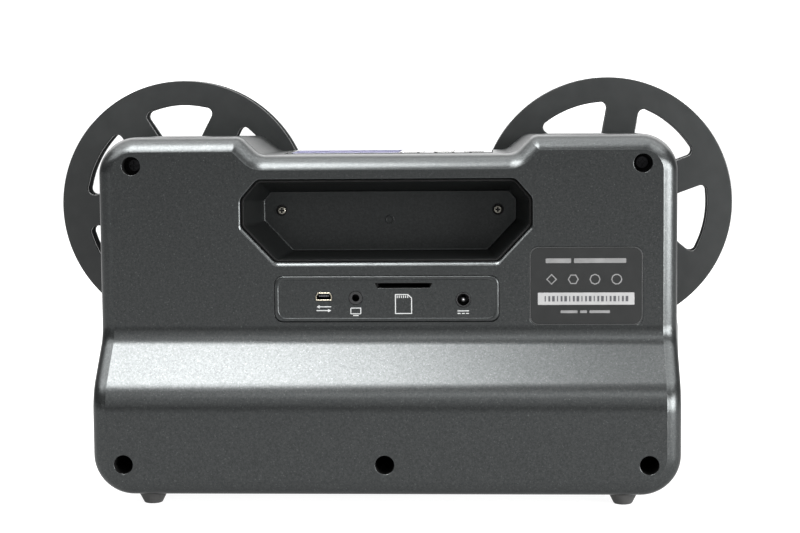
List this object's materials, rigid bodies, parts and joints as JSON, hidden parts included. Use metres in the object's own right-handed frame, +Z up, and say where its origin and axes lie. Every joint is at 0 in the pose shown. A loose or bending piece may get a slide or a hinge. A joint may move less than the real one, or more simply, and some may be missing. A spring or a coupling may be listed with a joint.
{
  "type": "film scanner",
  "caption": "Desktop cine-film scanner: grey two-part casing with carrying recess and sockets behind, film deck with gate and rollers in front, reels on spindles, screen and keys on top.",
  "frame": {"origin": "on the table under the middle of the whole object", "axes": "+X along the casing's width towards the take-up reel, +Y towards the back with the sockets, +Z up"},
  "size_m": [0.342, 0.1208, 0.1993],
  "materials": {
    "shell": "metallic grey, satin with fine flakes",
    "black_plastic": "fine-grained black",
    "reel_plastic": "dark grey, smooth moulded",
    "gloss_black": "polished",
    "rubber": "matt",
    "steel": "machined",
    "chrome": "polished",
    "brass": "turned",
    "circuit": "lacquered board",
    "white_plastic": "smooth",
    "glass": "coated",
    "screen": "dark glossy window",
    "mirror": "front-silvered"
  },
  "bodies": {
    "casing": {"rear_cover": "shell", "front_cover": "shell", "film_deck": "black_plastic", "grip_cup": "black_plastic", "port_plate": "shell", "rating_plate": "black_plastic", "usb_socket": "chrome", "av_jack": "black_plastic", "card_socket": "steel", "dc_jack": "black_plastic", "cover_screws": "steel", "grip_screws": "steel", "rubber_feet": "rubber", "main_board": "circuit", "lens_barrel": "black_plastic", "lens_glass": "glass", "sensor_board": "circuit", "camera_bracket": "steel", "fold_mirror": "mirror", "gate_base": "black_plastic", "lamp_housing": "black_plastic", "lamp_board": "circuit", "diffuser": "white_plastic", "gate_hinge_pin": "steel", "control_panel": "gloss_black", "screen_glass": "screen", "lcd_module": "black_plastic", "key_board": "circuit", "spindle_bushes": "brass", "drive_belt": "rubber", "takeup_motor": "steel", "claw_motor": "steel", "roller_posts": "chrome"},
    "supply_reel": {"supply_spindle": "steel", "supply_rear_flange": "reel_plastic", "supply_core": "reel_plastic", "supply_front_flange": "reel_plastic"},
    "supply_lock": {"supply_lock": "black_plastic"},
    "takeup_reel": {"takeup_spindle": "steel", "takeup_rear_flange": "reel_plastic", "takeup_core": "reel_plastic", "takeup_front_flange": "reel_plastic", "takeup_pulley": "black_plastic"},
    "takeup_lock": {"takeup_lock": "black_plastic"},
    "motor_pulley": {"motor_pulley": "black_plastic"},
    "gate_door": {"gate_door": "black_plastic"},
    "claw": {"claw": "steel"},
    "claw_cam": {"claw_cam": "brass"},
    "key_power": {"key_power": "white_plastic"},
    "key_up": {"key_up": "white_plastic"},
    "key_ok": {"key_ok": "white_plastic"},
    "key_left": {"key_left": "white_plastic"},
    "key_down": {"key_down": "white_plastic"},
    "key_right": {"key_right": "white_plastic"},
    "supply_roller_1": {"supply_roller_1": "white_plastic"},
    "supply_roller_2": {"supply_roller_2": "white_plastic"},
    "supply_roller_3": {"supply_roller_3": "white_plastic"},
    "takeup_roller_1": {"takeup_roller_1": "white_plastic"},
    "takeup_roller_2": {"takeup_roller_2": "white_plastic"},
    "takeup_roller_3": {"takeup_roller_3": "white_plastic"}
  },
  "joints": [
    {"name": "supply_spin", "type": "hinge", "parent": "casing", "child": "supply_reel", "pos_m": [-0.1075, -0.04745, 0.1358], "axis": [0, 1, 0], "continuous": true},
    {"name": "takeup_spin", "type": "hinge", "parent": "casing", "child": "takeup_reel", "pos_m": [0.1075, -0.04745, 0.1358], "axis": [0, 1, 0], "continuous": true},
    {"name": "supply_lock_flip", "type": "hinge", "parent": "supply_reel", "child": "supply_lock", "pos_m": [-0.1075, -0.05635, 0.1358], "axis": [1, 0, 0], "range_deg": [0, 90]},
    {"name": "takeup_lock_flip", "type": "hinge", "parent": "takeup_reel", "child": "takeup_lock", "pos_m": [0.1075, -0.05635, 0.1358], "axis": [1, 0, 0], "range_deg": [0, 90]},
    {"name": "motor_spin", "type": "hinge", "parent": "casing", "child": "motor_pulley", "pos_m": [0.1, -0.02155, 0.0958], "axis": [0, 1, 0], "continuous": true},
    {"name": "door_swing", "type": "hinge", "parent": "casing", "child": "gate_door", "pos_m": [0, -0.05635, 0.0414], "axis": [1, 0, 0], "range_deg": [0, 100]},
    {"name": "cam_turn", "type": "hinge", "parent": "casing", "child": "claw_cam", "pos_m": [0.024, -0.02855, 0.0555], "axis": [0, 1, 0], "range_deg": [-90, 90]},
    {"name": "claw_shift", "type": "slide", "parent": "casing", "child": "claw", "axis": [1, 0, 0], "range_m": [-0.0021, 0.0021]},
    {"name": "key_power_press", "type": "slide", "parent": "casing", "child": "key_power", "axis": [0, 0, -1], "range_m": [0, 0.0008], "stiffness_N_per_m": 500},
    {"name": "key_up_press", "type": "slide", "parent": "casing", "child": "key_up", "axis": [0, 0, -1], "range_m": [0, 0.0008], "stiffness_N_per_m": 500},
    {"name": "key_ok_press", "type": "slide", "parent": "casing", "child": "key_ok", "axis": [0, 0, -1], "range_m": [0, 0.0008], "stiffness_N_per_m": 500},
    {"name": "key_left_press", "type": "slide", "parent": "casing", "child": "key_left", "axis": [0, 0, -1], "range_m": [0, 0.0008], "stiffness_N_per_m": 500},
    {"name": "key_down_press", "type": "slide", "parent": "casing", "child": "key_down", "axis": [0, 0, -1], "range_m": [0, 0.0008], "stiffness_N_per_m": 500},
    {"name": "key_right_press", "type": "slide", "parent": "casing", "child": "key_right", "axis": [0, 0, -1], "range_m": [0, 0.0008], "stiffness_N_per_m": 500},
    {"name": "supply_roller_1_spin", "type": "hinge", "parent": "casing", "child": "supply_roller_1", "pos_m": [-0.112, -0.04745, 0.0535], "axis": [0, 1, 0], "continuous": true},
    {"name": "supply_roller_2_spin", "type": "hinge", "parent": "casing", "child": "supply_roller_2", "pos_m": [-0.084, -0.04745, 0.0355], "axis": [0, 1, 0], "continuous": true},
    {"name": "supply_roller_3_spin", "type": "hinge", "parent": "casing", "child": "supply_roller_3", "pos_m": [-0.05, -0.04745, 0.056], "axis": [0, 1, 0], "continuous": true},
    {"name": "takeup_roller_1_spin", "type": "hinge", "parent": "casing", "child": "takeup_roller_1", "pos_m": [0.112, -0.04745, 0.0535], "axis": [0, 1, 0], "continuous": true},
    {"name": "takeup_roller_2_spin", "type": "hinge", "parent": "casing", "child": "takeup_roller_2", "pos_m": [0.084, -0.04745, 0.0355], "axis": [0, 1, 0], "continuous": true},
    {"name": "takeup_roller_3_spin", "type": "hinge", "parent": "casing", "child": "takeup_roller_3", "pos_m": [0.05, -0.04745, 0.056], "axis": [0, 1, 0], "continuous": true}
  ],
  "couplings": [
    {"joint": "motor_spin", "follows": "takeup_spin", "ratio": 2.3333},
    {"joint": "cam_turn", "follows": "claw_shift", "rad_per_m": 748}
  ]
}
